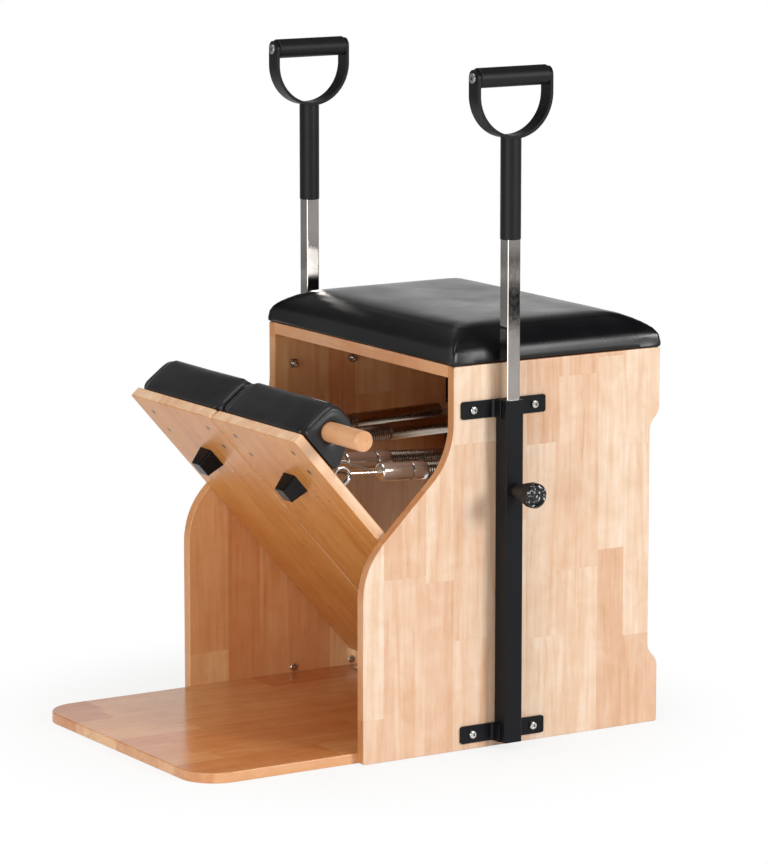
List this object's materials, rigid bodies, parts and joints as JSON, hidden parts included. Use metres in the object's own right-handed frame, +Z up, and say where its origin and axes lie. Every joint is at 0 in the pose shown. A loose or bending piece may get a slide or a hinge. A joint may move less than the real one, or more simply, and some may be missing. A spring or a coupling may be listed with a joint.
{
  "type": "pilates chair",
  "caption": "Wooden pilates chair with a domed padded seat, sprung split pedals hinged on the floor board, and D-handles that slide in clamped side posts.",
  "frame": {"origin": "centre of the bounding box at floor level", "axes": "+Z up, -Y towards the front where the pedals and the floor board reach out, +X to the side where the dowel sticks out"},
  "size_m": [0.709, 0.779, 1.0021],
  "materials": {
    "wood": "satin lacquer",
    "leather": "semi-gloss",
    "black_steel": "satin powder coat",
    "bolt_steel": "zinc plated",
    "chrome": "polished",
    "black_plastic": "matt",
    "gloss_black": "gloss",
    "black_rubber": "matt"
  },
  "bodies": {
    "frame": {"seat_board": "wood", "base_board": "wood", "back_board": "wood", "seat_cushion": "leather", "rack_screws": "bolt_steel", "left_side_panel": "wood", "left_post_sleeve": "black_steel", "left_bracket_bolts": "bolt_steel", "left_bracket_nuts": "bolt_steel", "left_sleeve_bush": "black_plastic", "left_spring_rack": "black_steel", "left_upper_bracket": "black_steel", "left_lower_bracket": "black_steel", "left_hinge_base_leaf": "bolt_steel", "left_hinge_pin": "bolt_steel", "right_side_panel": "wood", "right_post_sleeve": "black_steel", "right_bracket_bolts": "bolt_steel", "right_bracket_nuts": "bolt_steel", "right_sleeve_bush": "black_plastic", "right_spring_rack": "black_steel", "right_upper_bracket": "black_steel", "right_lower_bracket": "black_steel", "right_hinge_base_leaf": "bolt_steel", "right_hinge_pin": "bolt_steel"},
    "left_pedal": {"left_pedal_board": "wood", "left_pedal_bumper": "black_rubber", "left_hinge_pedal_leaf": "bolt_steel", "left_pedal_screws": "bolt_steel", "left_spring_eyes": "bolt_steel", "left_pedal_pad": "leather"},
    "left_springs": {"left_inner_spring": "chrome", "left_outer_spring": "chrome", "left_rear_hooks": "chrome"},
    "left_spring_ends": {"left_front_hooks": "chrome"},
    "left_handle": {"left_handle_tube": "chrome", "left_tube_grip": "black_rubber", "left_handle_bow": "black_steel", "left_bar_axle": "bolt_steel"},
    "left_bar": {"left_bar_grip": "black_rubber"},
    "left_knob": {"left_clamp_knob": "gloss_black"},
    "right_pedal": {"right_pedal_board": "wood", "right_pedal_bumper": "black_rubber", "right_hinge_pedal_leaf": "bolt_steel", "right_pedal_screws": "bolt_steel", "right_spring_eyes": "bolt_steel", "right_pedal_pad": "leather"},
    "right_springs": {"right_inner_spring": "chrome", "right_outer_spring": "chrome", "right_rear_hooks": "chrome"},
    "right_spring_ends": {"right_front_hooks": "chrome"},
    "right_handle": {"right_handle_tube": "chrome", "right_tube_grip": "black_rubber", "right_handle_bow": "black_steel", "right_bar_axle": "bolt_steel"},
    "right_bar": {"right_bar_grip": "black_rubber"},
    "right_knob": {"right_clamp_knob": "gloss_black"},
    "dowel": {"connecting_dowel": "wood"}
  },
  "joints": [
    {"name": "left_pedal_hinge", "type": "hinge", "parent": "frame", "child": "left_pedal", "pos_m": [0, 0.1785, 0.03], "axis": [1, 0, 0], "range_deg": [0, 46], "stiffness_Nm_per_rad": 100, "springref_deg": -14.32},
    {"name": "left_spring_swing", "type": "hinge", "parent": "frame", "child": "left_springs", "pos_m": [0, 0.3215, 0.421], "axis": [1, 0, 0], "range_deg": [0, 26.97]},
    {"name": "left_spring_stretch", "type": "slide", "parent": "left_springs", "child": "left_spring_ends", "axis": [0, -0.9998, -0.0206], "range_m": [0, 0.2713], "deforming": ["left_inner_spring", "left_outer_spring"]},
    {"name": "left_handle_slide", "type": "slide", "parent": "frame", "child": "left_handle", "axis": [0, 0, 1], "range_m": [-0.23, 0.1]},
    {"name": "left_bar_spin", "type": "hinge", "parent": "left_handle", "child": "left_bar", "pos_m": [-0.282, 0.1098, 0.9875], "axis": [0, 1, 0], "continuous": true},
    {"name": "left_knob_turn", "type": "hinge", "parent": "frame", "child": "left_knob", "pos_m": [-0.282, 0.1098, 0.387], "axis": [-1, 0, 0], "range_deg": [0, 540]},
    {"name": "right_pedal_hinge", "type": "hinge", "parent": "frame", "child": "right_pedal", "pos_m": [0, 0.1785, 0.03], "axis": [1, 0, 0], "range_deg": [0, 46], "stiffness_Nm_per_rad": 100, "springref_deg": -14.32},
    {"name": "right_spring_swing", "type": "hinge", "parent": "frame", "child": "right_springs", "pos_m": [0, 0.3215, 0.389], "axis": [1, 0, 0], "range_deg": [0, 28.91]},
    {"name": "right_spring_stretch", "type": "slide", "parent": "right_springs", "child": "right_spring_ends", "axis": [0, -0.9985, 0.0547], "range_m": [0, 0.2562], "deforming": ["right_inner_spring", "right_outer_spring"]},
    {"name": "right_handle_slide", "type": "slide", "parent": "frame", "child": "right_handle", "axis": [0, 0, 1], "range_m": [-0.23, 0.1]},
    {"name": "right_bar_spin", "type": "hinge", "parent": "right_handle", "child": "right_bar", "pos_m": [0.282, 0.1098, 0.9875], "axis": [0, 1, 0], "continuous": true},
    {"name": "right_knob_turn", "type": "hinge", "parent": "frame", "child": "right_knob", "pos_m": [0.282, 0.1098, 0.387], "axis": [1, 0, 0], "range_deg": [0, 540]},
    {"name": "dowel_slide", "type": "slide", "parent": "right_pedal", "child": "dowel", "axis": [1, 0, 0], "range_m": [-0.09, 0.22]}
  ],
  "couplings": [
    {"joint": "left_spring_swing", "follows": "left_pedal_hinge", "ratio": 0.58589},
    {"joint": "left_spring_stretch", "follows": "left_pedal_hinge", "m_per_rad": 0.33764},
    {"joint": "right_spring_swing", "follows": "right_pedal_hinge", "ratio": 0.62807},
    {"joint": "right_spring_stretch", "follows": "right_pedal_hinge", "m_per_rad": 0.31889}
  ]
}
